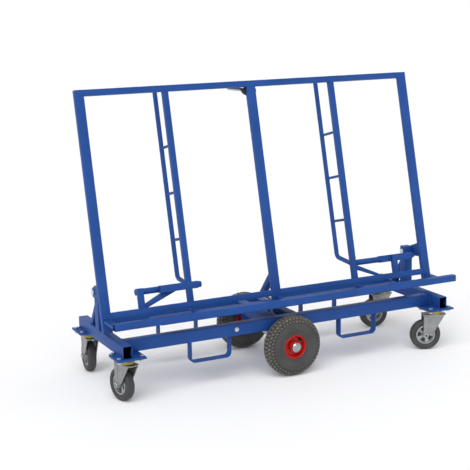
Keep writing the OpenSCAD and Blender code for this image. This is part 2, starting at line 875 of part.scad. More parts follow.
module rest_diagonals() {
    low = -back_drop - back_h * half_share;
    bar_under = -rest_drop - bar_s * half_share;
    color(BLUE) rack() {
        diagonal([[-rest_x, low], [-rest_x, low + diag_t * diag_foot_share],
            [-bar_left + bar_l * diag_near_share, bar_under],
            [-bar_left + bar_l * diag_far_share, bar_under]]);
        diagonal([[inner_x, bar_under - diag_t * diag_head_share], [inner_x, bar_under],
            [bar_right - diag_t * diag_end_share, low], [bar_right - diag_t * diag_wide_share, low]]);
    }
}

// Flat diagonal behind the rack's plane, from its outline across the rack
module diagonal(outline) {
    translate([0, rear + diag_t, 0]) rotate([90, 0, 0]) linear_extrude(diag_t) polygon(outline);
}

// Centre stop

module centre_strut() {
    run = stop_back + upright_y - (upright_y - rack_front * lean_cos);
    color(BLUE) difference() {
        cart() translate([stay_w * half_share, upright_y + stop_back, stop_top]) rotate([90, 0, -90])
            mirror([1, 0, 0]) linear_extrude(stay_w)
            polygon([[0, 0], [-stay_w * stay_foot_share, 0],
                [-run, run * stay_rise_share - stay_w * stay_head_share], [-run, run * stay_rise_share]]);
        rack() block(-rack_w, rack_w, -rack_w, rear, -rack_w, rack_w);
    }
}

module stop_foot() {
    y = upright_y - stop_ahead;
    color(ZINC) cart() {
        block(-stop_w * half_share, stop_w * half_share,
            upright_y - rack_front * lean_cos - centre_low * lean_sin, upright_y + stop_back,
            stop_low, stop_top);
        translate([0, y, foot_z + over]) cylinder(d = stop_d, h = stop_low - foot_z, $fn = small);
        translate([0, y, foot_z]) cylinder(d = foot_d, h = foot_h, $fn = small);
    }
}

// Latch

module latch_pin() {
    deep = side_gap + latch_t + lever_t + side_gap;
    color(ZINC) rack() {
        rod_y(rear, rear + deep, 0, latch_v, latch_pin_d);
        rod_y(rear + deep - over * half_share, rear + deep + lever_t * half_share,
            0, latch_v, latch_pin_d * flats_share);
    }
}

module latch_knob() {
    color(RUBBER) rack() difference() {
        rod_y(rear + side_gap, rear + side_gap + latch_t, 0, latch_v, latch_d);
        rod_y(rear, rear + latch_t + latch_t, 0, latch_v, latch_pin_d + run_gap + run_gap);
    }
}

module latch_lever() {
    y0 = rear + side_gap + latch_t;
    color(ZINC) rack() difference() {
        union() {
            block(-lever_l + lever_h * half_share, lever_h * half_share, y0, y0 + lever_t,
                latch_v + lever_up - lever_h * half_share, latch_v + lever_up + lever_h * half_share);
            rod_y(y0, y0 + lever_t, -lever_l + lever_h * half_share, latch_v + lever_up, lever_h);
            rod_y(y0, y0 + lever_t, 0, latch_v, latch_pin_d * lever_boss_share);
        }
        rod_y(y0 - over, y0 + lever_t + over, 0, latch_v, latch_pin_d + run_gap + run_gap);
    }
}

cross_tube(-1);  // cross_tube_left
cross_tube(1);  // cross_tube_right
long_rail(-1);  // rail_front
long_rail(1);  // rail_rear
centre_members();
stop_plate();
fork_loop(-1, -1);  // fork_loop_front_left
fork_loop(1, -1);  // fork_loop_front_right
fork_loop(-1, 1);  // fork_loop_rear_left
fork_loop(1, 1);  // fork_loop_rear_right
corner_plates();
castor_heads();
castor_bolts();
upright(-1);  // upright_left
upright(1);  // upright_right
braces();
hinge_pins();
axle_hangers();
axle();
axle_nuts();
tyre(-1);  // tyre_front
wheel_rim(-1);  // rim_front
hub_cap(-1);  // hub_cap_front
tyre(1);  // tyre_rear
wheel_rim(1);  // rim_rear
hub_cap(1);  // hub_cap_rear
castor_fork(-1, -1, fl_angle);  // castor_fork_fl
castor_rim(-1, -1, fl_angle);  // castor_rim_fl
castor_tyre(-1, -1, fl_angle);  // castor_tyre_fl
castor_fork(1, -1, fr_angle);  // castor_fork_fr
castor_rim(1, -1, fr_angle);  // castor_rim_fr
castor_tyre(1, -1, fr_angle);  // castor_tyre_fr
castor_fork(-1, 1, rl_angle);  // castor_fork_rl
castor_rim(-1, 1, rl_angle);  // castor_rim_rl
castor_tyre(-1, 1, rl_angle);  // castor_tyre_rl
castor_fork(1, 1, rr_angle);  // castor_fork_rr
castor_rim(1, 1, rr_angle);  // castor_rim_rr
castor_tyre(1, 1, rr_angle);  // castor_tyre_rr
top_rail();
end_post(-1);  // end_post_left
end_post(1);  // end_post_right
centre_post();
inner_post(-1);  // inner_post_left
inner_post(1);  // inner_post_right
truss_rod(-1);  // truss_rod_left
truss_rod(1);  // truss_rod_right
back_rail();
tray_rail();
tray_arms();
tray_floor();
rest_posts();
rest_diagonals();
rest_tubes();
rest_bars();
hinge_ears();
centre_strut();
stop_foot();
latch_pin();
latch_knob();
latch_lever();
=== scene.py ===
import json
import math
from collections import namedtuple

import bmesh
import bpy
import numpy as np
from mathutils import Matrix, Vector


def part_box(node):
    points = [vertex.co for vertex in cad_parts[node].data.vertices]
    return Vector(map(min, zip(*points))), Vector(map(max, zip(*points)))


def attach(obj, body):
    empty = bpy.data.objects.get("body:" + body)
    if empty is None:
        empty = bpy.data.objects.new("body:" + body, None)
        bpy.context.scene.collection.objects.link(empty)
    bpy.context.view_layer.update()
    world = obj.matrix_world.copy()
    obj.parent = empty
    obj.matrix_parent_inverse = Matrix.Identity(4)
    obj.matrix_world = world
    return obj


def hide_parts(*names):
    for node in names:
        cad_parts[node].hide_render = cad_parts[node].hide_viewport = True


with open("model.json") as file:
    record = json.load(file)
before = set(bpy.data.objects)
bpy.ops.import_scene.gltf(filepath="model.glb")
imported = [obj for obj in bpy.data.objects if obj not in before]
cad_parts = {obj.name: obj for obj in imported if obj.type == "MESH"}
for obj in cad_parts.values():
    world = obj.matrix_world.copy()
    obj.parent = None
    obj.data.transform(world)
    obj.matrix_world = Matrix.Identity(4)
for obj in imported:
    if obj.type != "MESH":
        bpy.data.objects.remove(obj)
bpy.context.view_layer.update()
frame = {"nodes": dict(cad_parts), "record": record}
NODES = frame["nodes"]
BEHAVIOUR = frame["record"]["behaviour"]
BODY_OF = {n: b for b, names in BEHAVIOUR["bodies"].items() for n in names}
SLOT_OF = {s["node"]: s["material_slot"] for s in frame["record"]["subparts"]}
JOINT_AT = {j["name"]: Vector(j["pos_m"]) for j in BEHAVIOUR["joints"]}
JOINT_AXIS = {j["name"]: Vector(j["axis"]).normalized() for j in BEHAVIOUR["joints"]}
SCENE = bpy.context.scene
SIDES = (-1, 1)
TURN = 2 * math.pi
UP, ALONG = Vector((0.0, 0.0, 1.0)), Vector((1.0, 0.0, 0.0))
JOINT_DIGITS, BOX_DIGITS = 6, 5  # decimals of a metre that are true in the record and in the node meshes
Point = namedtuple("Point", "x y z")


def rounded(place, digits):
    """A place without the rounding errors of single precision, which can tip the rounding of an edge."""
    return Point(*(round(value, digits) for value in place))


# The middle of the base on the floor, the tilt axis and the rack's lean, in metres in the row frame
WHEELS_MID = rounded((JOINT_AT["wheel_spin_front"] + JOINT_AT["wheel_spin_rear"]) / 2, JOINT_DIGITS)
SHIFT = Vector((WHEELS_MID.x, WHEELS_MID.y, 0.0))
HINGE = JOINT_AT["rack_tilt"]
LEAN = math.radians(13.7)


def rack(x, y, z):
    """A point of the rack, from the tilt axis, to the row frame."""
    c, s = math.cos(LEAN), math.sin(LEAN)
    return HINGE + Vector((x, y * c + z * s, z * c - y * s))


def to_rack(p):
    """A point of the row frame, measured from the tilt axis along the rack."""
    c, s = math.cos(LEAN), math.sin(LEAN)
    d = p - HINGE
    return Vector((d.x, d.y * c - d.z * s, d.y * s + d.z * c))


def cart(x, y, z):
    """A point measured from the middle of the base to the row frame."""
    return SHIFT + Vector((x, y, z))


def middle(box):
    return Point(*((low + high) / 2 for low, high in zip(*box)))


def base_box(node):
    """Corners of a CAD node's box, from the middle of the base."""
    return [rounded(corner - SHIFT, BOX_DIGITS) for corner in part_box(node)]


def rack_box(node):
    """Corners of a rack node's box along the lean, from the tilt axis."""
    points = [to_rack(v.co) for v in NODES[node].data.vertices]
    return [rounded((pick(axis) for axis in zip(*points)), BOX_DIGITS) for pick in (min, max)]


# Faces of the base's tubes, from its middle
CROSS_TUBE, RAIL = base_box("cross_tube_right"), base_box("rail_rear")
CROSS_IN, CROSS_OUT, CROSS_END = CROSS_TUBE[0].x, CROSS_TUBE[1].x, CROSS_TUBE[1].y
RAIL_IN, RAIL_MID, RAIL_OUT = RAIL[0].y, middle(RAIL).y, RAIL[1].y
TUBE_LOW, TUBE_TOP = RAIL[0].z, RAIL[1].z

# Front and rear planes of the rack and its inner posts, from the tilt axis
INNER_POST, INNER_WIDEN = rack_box("inner_post_right"), 0.0025
RACK_FRONT, RACK_REAR = INNER_POST[0].y, INNER_POST[1].y
INNER_X = middle(INNER_POST).x

# Wheels and castors
WHEEL_R, WHEEL_W = WHEELS_MID.z, 0.076
CASTORS = ("fl", "fr", "rl", "rr")
CASTOR_R, CASTOR_W, CASTOR_BOLT = rounded(JOINT_AT["castor_spin_rr"], JOINT_DIGITS).z, 0.038, 0.033
CASTOR_RIM_R = (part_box("castor_rim_rr")[1].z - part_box("castor_rim_rr")[0].z) / 2

# Materials

PATCHES, MOTTLE, GRAIN = (5.0, 0.6), (6.0, 0.65), (3.0, 0.5)  # detail and roughness of the noises
MOTTLE_FINER = 4.0
TONE_STOPS = (0.3, 0.7)
# Dust with a painted highlight on the tread's block tops: scale of its noise and its two colours
DUST_AND_HIGHLIGHT_SCALE, DUST_AND_HIGHLIGHT = 70.0, ((0.075, 0.068, 0.056), (0.160, 0.146, 0.122))


def material(name):
    m = bpy.data.materials.new(name)
    m.use_nodes = True
    return m, m.node_tree, m.node_tree.nodes["Principled BSDF"]


def noise(nt, scale, detail=4.0, rough=0.5):
    coord = nt.nodes.new("ShaderNodeTexCoord")
    tex = nt.nodes.new("ShaderNodeTexNoise")
    tex.inputs["Scale"].default_value = scale
    tex.inputs["Detail"].default_value = detail
    tex.inputs["Roughness"].default_value = rough
    nt.links.new(coord.outputs["Object"], tex.inputs["Vector"])
    return tex.outputs["Fac"]


def ramp(nt, value, colours, stops=TONE_STOPS):
    node = nt.nodes.new("ShaderNodeValToRGB")
    elements = node.color_ramp.elements
    while len(elements) < len(stops):
        elements.new(0.5)
    for element, stop, colour in zip(elements, stops, colours):
        element.position = stop
        element.color = (*colour, 1.0)
    nt.links.new(value, node.inputs["Fac"])
    return node.outputs["Color"]


def spread(nt, value, low, high):
    node = nt.nodes.new("ShaderNodeMapRange")
    node.inputs["To Min"].default_value = low
    node.inputs["To Max"].default_value = high
    nt.links.new(value, node.inputs["Value"])
    return node.outputs["Result"]


def bump(nt, bsdf, value, strength, distance):
    node = nt.nodes.new("ShaderNodeBump")
    node.inputs["Strength"].default_value = strength
    node.inputs["Distance"].default_value = distance
    nt.links.new(value, node.inputs["Height"])
    nt.links.new(node.outputs["Normal"], bsdf.inputs["Normal"])


def surface(name, colours, rough, stops=TONE_STOPS, metallic=0.0, patch=5.0, grain=600.0, depth=0.0002,
            strength=0.2, shine=0.5):
    """Painted, plated or moulded surface: colour in soft patches, roughness and bump from finer grain."""
    m, nt, bsdf = material(name)
    nt.links.new(ramp(nt, noise(nt, patch, *PATCHES), colours, stops), bsdf.inputs["Base Color"])
    fine = noise(nt, grain, *GRAIN)
    mottle = noise(nt, patch * MOTTLE_FINER, *MOTTLE)
    nt.links.new(spread(nt, mottle, *rough), bsdf.inputs["Roughness"])
    bump(nt, bsdf, fine, strength, depth)
    bsdf.inputs["Metallic"].default_value = metallic
    bsdf.inputs["Specular IOR Level"].default_value = shine
    return m


def dust_and_highlight_tread(m):
    """Dust with a painted highlight on the tops of the tread blocks, mixed in by a share stored on the mesh's
    points.
    """
    nt = m.node_tree
    bsdf = nt.nodes["Principled BSDF"]
    rubber = bsdf.inputs["Base Color"].links[0].from_socket
    dust_and_highlight_colour = ramp(nt, noise(nt, DUST_AND_HIGHLIGHT_SCALE), DUST_AND_HIGHLIGHT)
    wear = nt.nodes.new("ShaderNodeAttribute")
    wear.attribute_name = "wear"
    mix = nt.nodes.new("ShaderNodeMix")
    mix.data_type = "RGBA"
    colour_a, colour_b = [i for i in mix.inputs if i.type == "RGBA"]
    nt.links.new(wear.outputs["Fac"], mix.inputs["Factor"])
    nt.links.new(rubber, colour_a)
    nt.links.new(dust_and_highlight_colour, colour_b)
    nt.links.new([o for o in mix.outputs if o.type == "RGBA"][0], bsdf.inputs["Base Color"])
    return m


MATS = {
    "frame_blue": surface("powder_blue", [(0.009, 0.052, 0.220), (0.013, 0.066, 0.270)], (0.40, 0.52),
                          grain=420.0, depth=0.00025, strength=0.18, shine=0.2),
    "zinc": surface("bright_zinc", [(0.50, 0.51, 0.53), (0.66, 0.67, 0.68)], (0.24, 0.40),
                    metallic=1.0, patch=40.0, grain=900.0, depth=0.00008),
    "fork_zinc": surface("pressed_zinc", [(0.25, 0.254, 0.257), (0.35, 0.354, 0.354)], (0.32, 0.50),
                         metallic=0.9, patch=30.0, grain=700.0, depth=0.0001),
    "yellow_zinc": surface("yellow_zinc", [(0.27, 0.24, 0.055), (0.36, 0.31, 0.085), (0.30, 0.30, 0.13)],
                           (0.30, 0.48), stops=(0.3, 0.55, 0.75), metallic=0.8, patch=35.0, grain=800.0,
                           depth=0.00008),
    # Tyre rubber with dust and a painted highlight on the block tops
    "tyre": dust_and_highlight_tread(surface("tyre_rubber", [(0.032, 0.032, 0.033), (0.056, 0.056, 0.057)], (0.62, 0.80),
                                patch=18.0, grain=1200.0, depth=0.0002, strength=0.3)),
    "castor_rubber": surface("castor_rubber", [(0.022, 0.022, 0.023), (0.040, 0.040, 0.041)], (0.50, 0.68),
                             patch=25.0, grain=1000.0, depth=0.00015),
    "rim_red": surface("rim_red", [(0.43, 0.010, 0.008), (0.52, 0.015, 0.010)], (0.30, 0.42),
                       patch=15.0, grain=500.0, depth=0.0002, shine=0.3),
    "alloy": surface("die_cast_alloy", [(0.32, 0.325, 0.33), (0.46, 0.465, 0.47)], (0.34, 0.52),
                     metallic=0.95, patch=60.0, grain=1100.0, depth=0.00012),
    "hub_chrome": surface("bright_cap", [(0.32, 0.322, 0.325), (0.44, 0.442, 0.445)], (0.20, 0.32),
                          metallic=1.0, patch=50.0, grain=800.0, depth=0.00006),
    "knob_black": surface("moulded_black", [(0.010, 0.010, 0.011), (0.018, 0.018, 0.019)], (0.38, 0.52),
                          patch=20.0, grain=900.0, depth=0.0001),
}


# Meshes

MERGE_DISTANCE, FLAT_ANGLE, HARD_ANGLE, FORM_SMOOTH = 2e-6, 0.6, 28.0, 40.0  # angles in degrees
TURNED_SMOOTH = 35.0


def add_object(name, mesh, body, slot):
    obj = bpy.data.objects.new(name, mesh)
    SCENE.collection.objects.link(obj)
    obj.data.materials.clear()
    obj.data.materials.append(MATS[slot])
    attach(obj, body)
    return obj


def add_form(node, mesh):
    """The dressed form of a CAD node, in place of the node."""
    obj = add_object(node + "_form", mesh, BODY_OF[node], SLOT_OF[node])
    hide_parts(node)


def smooth_mesh(mesh, degrees):
    """Smooth shading with sharp edges above the angle."""
    mesh.polygons.foreach_set("use_smooth", [True] * len(mesh.polygons))
    mesh.set_sharp_from_angle(angle=math.radians(degrees))


def new_mesh(name, verts, faces):
    mesh = bpy.data.meshes.new(name)
    mesh.from_pydata([tuple(v) for v in verts], [], faces)
    mesh.update()
    return mesh


def dress(node, edge, hard=HARD_ANGLE, shape=None):
    """A copy of a CAD node with its hard edges rounded, in place of the node.

    The edge is the width and the steps of the rounding. The shape moves the points of a rack node, measured
    from the tilt axis.
    """
    bm = bmesh.new()
    bm.from_mesh(NODES[node].data)
    if shape:
        for v in bm.verts:
            v.co = rack(*shape(*to_rack(v.co)))
    bmesh.ops.remove_doubles(bm, verts=bm.verts, dist=MERGE_DISTANCE)
    bmesh.ops.dissolve_limit(bm, angle_limit=math.radians(FLAT_ANGLE), verts=bm.verts, edges=bm.edges)
    sharp = [e for e in bm.edges if len(e.link_faces) == 2 and e.calc_face_angle(0.0) > math.radians(hard)]
    width, steps = edge
    bmesh.ops.bevel(bm, geom=sharp, offset=width, offset_type="OFFSET", segments=steps, profile=0.5,
                    affect="EDGES", clamp_overlap=True)
    mesh = bpy.data.meshes.new(node + "_form")
    bm.to_mesh(mesh)
    bm.free()
    smooth_mesh(mesh, FORM_SMOOTH)
    add_form(node, mesh)


def grid_mesh(name, points, closed_v):
    """Mesh of a grid of points that goes right round, and is wrapped across too where closed."""
    nu, nv = points.shape[:2]
    faces = []
    for i in range(nu):
        for j in range(nv if closed_v else nv - 1):
            a, b = i * nv + j, i * nv + (j + 1) % nv
            c, d = ((i + 1) % nu) * nv + (j + 1) % nv, ((i + 1) % nu) * nv + j
            faces.append((a, b, c, d))
    return new_mesh(name, points.reshape(-1, 3).tolist(), faces)


def tube_faces(start, rings, sides):
    """Faces of a tube of rings of points, with closed ends."""
    faces = []
    for i in range(rings - 1):
        for j in range(sides):
            p, q = start + i * sides + j, start + i * sides + (j + 1) % sides
            faces.append((p, q, q + sides, p + sides))
    last = start + (rings - 1) * sides
    return faces + [tuple(start + j for j in reversed(range(sides))), tuple(last + j for j in range(sides))]


def turned_points(r, t, z, origin, axis, out):
    """Points at a radius, an angle from the out direction and a height along the axis, in the row frame."""
    along, first = Vector(axis).normalized(), Vector(out).normalized()
    basis = np.array([first, along.cross(first), along])
    return np.stack([r * np.cos(t), r * np.sin(t), z], axis=-1) @ basis + np.array(origin)


def turned_mesh(name, outline, origin, axis, out, steps, closed=False, degrees=TURNED_SMOOTH):
    """Mesh of an outline of radii and heights, turned round the axis."""
    theta = np.linspace(0.0, TURN, steps, endpoint=False)
    r, t = np.meshgrid([p[0] for p in outline], theta)
    z, _ = np.meshgrid([p[1] for p in outline], theta)
    mesh = grid_mesh(name, turned_points(r, t, z, origin, axis, out), closed)
    smooth_mesh(mesh, degrees)
    return mesh


def smoothstep(x, low, high):
    t = np.clip((x - low) / (high - low), 0.0, 1.0)
    return t * t * (3.0 - 2.0 * t)


# Pneumatic tyres: round section, block tread that runs down over the shoulders

TREAD_BLOCKS, TREAD_LANES, TREAD_DEPTH, TREAD_EDGE = 46, 3.0, 0.0056, math.radians(74.0)
BLOCK_STEPS, ACROSS_STEPS, TYRE_SMOOTH = 16, 112, 50.0
LANE_SHIFT, BLOCK_SLANT, LAST_ROW = 0.5, 0.45, 0.999
CROSS_GROOVE, LANE_GROOVE, PLAIN_CROWN, TREAD_FADE = (0.12, 0.17), (0.08, 0.15), 0.14, (0.94, 1.02)
# Painted shade: the dust and highlight on the block tops fade out towards the shoulders, over this range of
# rows and by this share
SHOULDER_SHADE_FADE, SHOULDER_SHADE_LOSS = (0.55, 0.95), 0.6
RIB_HEIGHT, RIB_ROW, RIB_PITCH, RIB_CREST, RIB_ZONE = 0.0006, 1.18, 60.0, 0.6, (1.08, 1.5)
TYRE_CENTRE_R, TYRE_WRAP, TYRE_POWER, TYRE_SKIN = 0.0905, math.radians(127.0), 2.0 / 2.35, 0.0001
TYRE_BEAD = [(0.0620, 0.0310), (0.0595, 0.0308), (0.0575, 0.0314), (0.0555, 0.0318), (0.0535, 0.0314),
             (0.0522, 0.0302), (0.0517, 0.0280), (0.0516, 0.0230)]


def tread_grooves(t, row):
    """Depth of the grooves between the tread blocks, and where there is tread, both from 0 to 1.

    The row goes from 0 at the crown to 1 at the tread's edge. Grooves are shares of a block and of a lane.
    """
    lanes = np.clip(row, 0, LAST_ROW) * TREAD_LANES
    u = (t / TURN * TREAD_BLOCKS + np.floor(lanes) * LANE_SHIFT + row * BLOCK_SLANT) % 1.0
    v = lanes % 1.0
    cross_cut = 1.0 - smoothstep(np.minimum(u, 1.0 - u), *CROSS_GROOVE)
    lane_cut = 1.0 - smoothstep(np.minimum(v, 1.0 - v), *LANE_GROOVE)
    lane_cut = np.where(row < PLAIN_CROWN, 0.0, lane_cut)
    tread = 1.0 - smoothstep(row, *TREAD_FADE)
    return np.maximum(cross_cut, lane_cut) * tread, tread


def squared(value):
    """Sine or cosine of a section a little fuller than an ellipse."""
    return np.sign(value) * np.abs(value) ** TYRE_POWER


def pneumatic_tyre(end, side):
    node = "tyre_" + end
    theta = np.linspace(0.0, TURN, TREAD_BLOCKS * BLOCK_STEPS, endpoint=False)
    p, t = np.meshgrid(np.linspace(-TYRE_WRAP, TYRE_WRAP, ACROSS_STEPS), theta)
    deep, half = WHEEL_R - TYRE_CENTRE_R, WHEEL_W / 2
    cosp, sinp = np.cos(p), np.sin(p)
    row = np.abs(p / TREAD_EDGE)
    groove, tread = tread_grooves(t, row)
    ribbed = (np.cos((row - RIB_ROW) * RIB_PITCH) > RIB_CREST) * (row > RIB_ZONE[0]) * (row < RIB_ZONE[1])
    cut = TREAD_DEPTH * groove - RIB_HEIGHT * ribbed
    nr, nz = cosp / deep, sinp / half
    length = np.hypot(nr, nz)
    r = np.minimum(TYRE_CENTRE_R + deep * squared(cosp) - cut * nr / length, WHEEL_R - TYRE_SKIN)
    z = np.clip(half * squared(sinp) - cut * nz / length, -half, half)
    # Share of dust and painted highlight: the block tops, less towards the shoulders as painted shade
    wear = tread * (1.0 - groove) * (1.0 - SHOULDER_SHADE_LOSS * smoothstep(row, *SHOULDER_SHADE_FADE))
    bead = np.tile(np.array(TYRE_BEAD), (len(theta), 1, 1))
    r = np.hstack([bead[:, ::-1, 0], r, bead[:, :, 0]])
    z = np.hstack([-bead[:, ::-1, 1], z, bead[:, :, 1]])
    wear = np.pad(wear, ((0, 0), (len(TYRE_BEAD), len(TYRE_BEAD))))
    t = np.tile(theta[:, None], (1, r.shape[1]))
    points = turned_points(r, t, z, JOINT_AT["wheel_spin_" + end], (0, side, 0), ALONG)
    mesh = grid_mesh(node + "_form", points, False)
    smooth_mesh(mesh, TYRE_SMOOTH)
    values = wear.reshape(-1).astype(np.float32)
    mesh.attributes.new("wear", "FLOAT", "POINT").data.foreach_set("value", values)
    add_form(node, mesh)


# Rims of the centre wheels: a pressed dish with a rolled edge, on a turned hub. Radii and half widths

RIM_STEPS = 128
RIM_DISH = [(0.01005, 0.03268), (0.0220, 0.03268), (0.0230, 0.0318), (0.0230, 0.0072), (0.0240, 0.0058),
            (0.0256, 0.0054), (0.0350, 0.0054), (0.0378, 0.0062), (0.0402, 0.0084), (0.0420, 0.0120),
            (0.0434, 0.0180), (0.0444, 0.0250), (0.0451, 0.0290), (0.0460, 0.0312), (0.0474, 0.0324),
            (0.0490, 0.0325), (0.0504, 0.0317), (0.0512, 0.0302), (0.0514, 0.0280), (0.0514, 0.0200)]


def pressed_rim(end, side):
    node = "rim_" + end
    outline = RIM_DISH + [(r, -z) for r, z in reversed(RIM_DISH)]
    centre = JOINT_AT["wheel_spin_" + end]
    add_form(node, turned_mesh(node + "_form", outline, centre, (0, side, 0), ALONG, RIM_STEPS, True))


# Castors: tyres with their walls in shares of depth and half width, and fittings of the rims and forks

WALL_SHARES = [(0.0, 0.80), (0.08, 0.86), (0.14, 0.86), (0.20, 0.93), (0.40, 0.975), (0.60, 0.985),
               (0.74, 0.95), (0.86, 0.86), (0.945, 0.70), (0.985, 0.48), (1.0, 0.22), (1.0, 0.03)]
CASTOR_STEPS, CASTOR_SMOOTH = 120, 45.0
# The web closes the rim's windows; it is near-black rubber as painted shade of the pockets
CASTOR_SHADE_WEB, SHADE_WEB_STEPS = [(0.0130, 0.0015), (0.0380, 0.0015), (0.0380, -0.0015), (0.0130, -0.0015)], 96
# Sockets: flat black discs on the bolt ends as painted shade of the hollow sockets
SOCKET_SHADE, SOCKET_SHADE_STEPS = [(0.0, 0.0003), (0.0050, 0.0003), (0.0056, -0.0004)], 24
SOCKET_RING, RING_STEPS = [(0.0054, -0.0004), (0.0056, 0.0006), (0.0084, 0.0006), (0.0090, -0.0004)], 32
STRIP_HALF, STRIP_TOP, STRIP_FACE, STRIP_HIGH, STRIP_EDGE = 0.0112, 0.158, 0.0268, 0.0016, 0.0009
STRIP_STEPS, STRIP_SMOOTH = 16, 30.0


def castor_axle(key):
    """Middle of a castor's wheel and the direction of its axle."""
    return JOINT_AT["castor_spin_" + key], JOINT_AXIS["castor_spin_" + key]


def castor_tyre(key):
    """Solid rubber with a flat crown and stepped side walls."""
    node = "castor_tyre_" + key
    half, deep = CASTOR_W / 2, CASTOR_R - CASTOR_RIM_R
    wall = [(CASTOR_RIM_R + deep * depth, -half * width) for depth, width in WALL_SHARES]
    outline = wall + [(CASTOR_R, 0.0)] + [(r, -z) for r, z in reversed(wall)]
    centre, axle = castor_axle(key)
    mesh = turned_mesh(node + "_form", outline, centre, axle, UP, CASTOR_STEPS, True, CASTOR_SMOOTH)
    add_form(node, mesh)


def strip_outline(inset):
    """Outline of the pressed strip on a fork leg, from the axle: a straight band with a round lower end."""
    half, top = STRIP_HALF - inset, STRIP_TOP - CASTOR_R - inset
    arc = [math.pi + math.pi * i / STRIP_STEPS for i in range(STRIP_STEPS + 1)]
    return [(half * math.cos(a), half * math.sin(a)) for a in arc] + [(half, top), (-half, top)]


def fork_strips(key):
    """Raised strips on the outer faces of a fork's legs."""
    centre, axle = castor_axle(key)
    trail = UP.cross(axle)
    verts, faces = [], []
    for side in SIDES:
        loops = []
        for inset, high in ((0.0, 0.0), (0.0, STRIP_HIGH - STRIP_EDGE), (STRIP_EDGE, STRIP_HIGH)):
            loops.append(len(verts))
            for u, v in strip_outline(inset):
                verts.append(centre + axle * side * (STRIP_FACE + high) + trail * u + UP * v)
        count = len(verts) - loops[-1]
        for low, top in zip(loops, loops[1:]):
            for i in range(count):
                quad = (low + i, low + (i + 1) % count, top + (i + 1) % count, top + i)
                faces.append(quad if side > 0 else quad[::-1])
        cap = tuple(range(loops[-1], loops[-1] + count))
        faces.append(cap if side > 0 else cap[::-1])
    mesh = new_mesh("fork_strips_" + key, verts, faces)
    smooth_mesh(mesh, STRIP_SMOOTH)
    add_object("fork_strips_" + key, mesh, "castor_" + key, "fork_zinc")


def castor_fittings(key):
    """Web between the spokes of a castor rim, near-black as painted shade of the pockets, and in the ends of
    its axle bolt black discs as painted shade of the sockets, with zinc rings round them.
    """
    centre, axle = castor_axle(key)
    name = "castor_web_" + key
    shade_web = turned_mesh(name, CASTOR_SHADE_WEB, centre, axle, UP, SHADE_WEB_STEPS, True)
    # Near-black rubber as painted shade in the pockets between the spokes
    add_object(name, shade_web, "castor_wheel_" + key, "castor_rubber")
    for side, end in ((-1, "_a"), (1, "_b")):
        place, out = centre + axle * side * CASTOR_BOLT, axle * side
        name = "castor_socket_" + key + end
        socket_shade = turned_mesh(name, SOCKET_SHADE, place, out, UP, SOCKET_SHADE_STEPS)
        # Black as painted shade of the hollow socket
        add_object(name, socket_shade, "castor_" + key, "knob_black")
        name = "castor_ring_" + key + end
        ring = turned_mesh(name, SOCKET_RING, place, out, UP, RING_STEPS)
        add_object(name, ring, "castor_" + key, "zinc")
    fork_strips(key)


# Weld beads: rippled round beads along the seams

BASE_BEAD, RACK_BEAD, THIN_SHARE = 0.0028, 0.0020, 0.8
BEAD_SIDES, BEAD_LEAST_STEPS, BEAD_PITCH_STEPS, BEAD_SMOOTH = 8, 6, 3.0, 60.0
STEP_SLACK = 0.001  # of a step, so that rounding of a length drops none
PITCH_SHARE, RIPPLE_SHARE, BLUNT_SHARE, TIP_SHARE = 0.55, 0.14, 0.3, 0.25

# Seams of the base: how far they end short of corners, and faces of what is welded on
SIDE_SHORT, TOP_SHORT, BRACE_SHORT, END_SHORT = 0.004, 0.003, 0.006, 0.002
LOOP, LOOP_BAR = base_box("fork_loop_rear_right"), 0.007
LOOP_FACES = (LOOP[0].x, LOOP[0].x + LOOP_BAR, LOOP[1].x - LOOP_BAR, LOOP[1].x)
LOOP_REACH = (LOOP[1].y - LOOP[0].y) / 2 - END_SHORT
CORNER_START, CORNER_END = 0.180, CROSS_END - END_SHORT
MEMBER_FACES = (base_box("stop_plate")[1].x, base_box("centre_members")[1].x)
UPRIGHT_FRONT, UPRIGHT_REAR = [corner.y for corner in base_box("upright_right")]
BRACE_TOP = 0.334
HANGER = base_box("axle_hangers")[1]
HANGER_REACH, HANGER_HALF = HANGER.x - SIDE_SHORT, HANGER.y - RAIL_MID

# Seams of the rack, from the tilt axis, and of the tray's arms, from the middle of the base
END_POST, TOP_RAIL, BACK_RAIL = rack_box("end_post_right"), rack_box("top_rail"), rack_box("back_rail")
END_IN, END_MID = END_POST[0].x, middle(END_POST).x
LOW_SEAM, SEAT_SEAM, TOP_SEAM, RACK_TOP = BACK_RAIL[0].z, BACK_RAIL[1].z, TOP_RAIL[0].z, TOP_RAIL[1].z
INNER_HALF = INNER_POST[1].x - INNER_X + INNER_WIDEN
REST_OUT, REST_HALF = rack_box("rest_posts")[1].x, 0.0125
CENTRE_HALF = rack_box("centre_post")[1].x
EAR_OUT, EAR_THICK, EAR_FOOT = rack_box("hinge_ears")[1].x, 0.008, 0.031
ARM_Y, ARM_SEAM, ARM_HALF = base_box("tray_rail")[1].y, (0.310, 0.319), 0.010
END_ARM_HALF = base_box("tray_arms")[1].x - END_MID


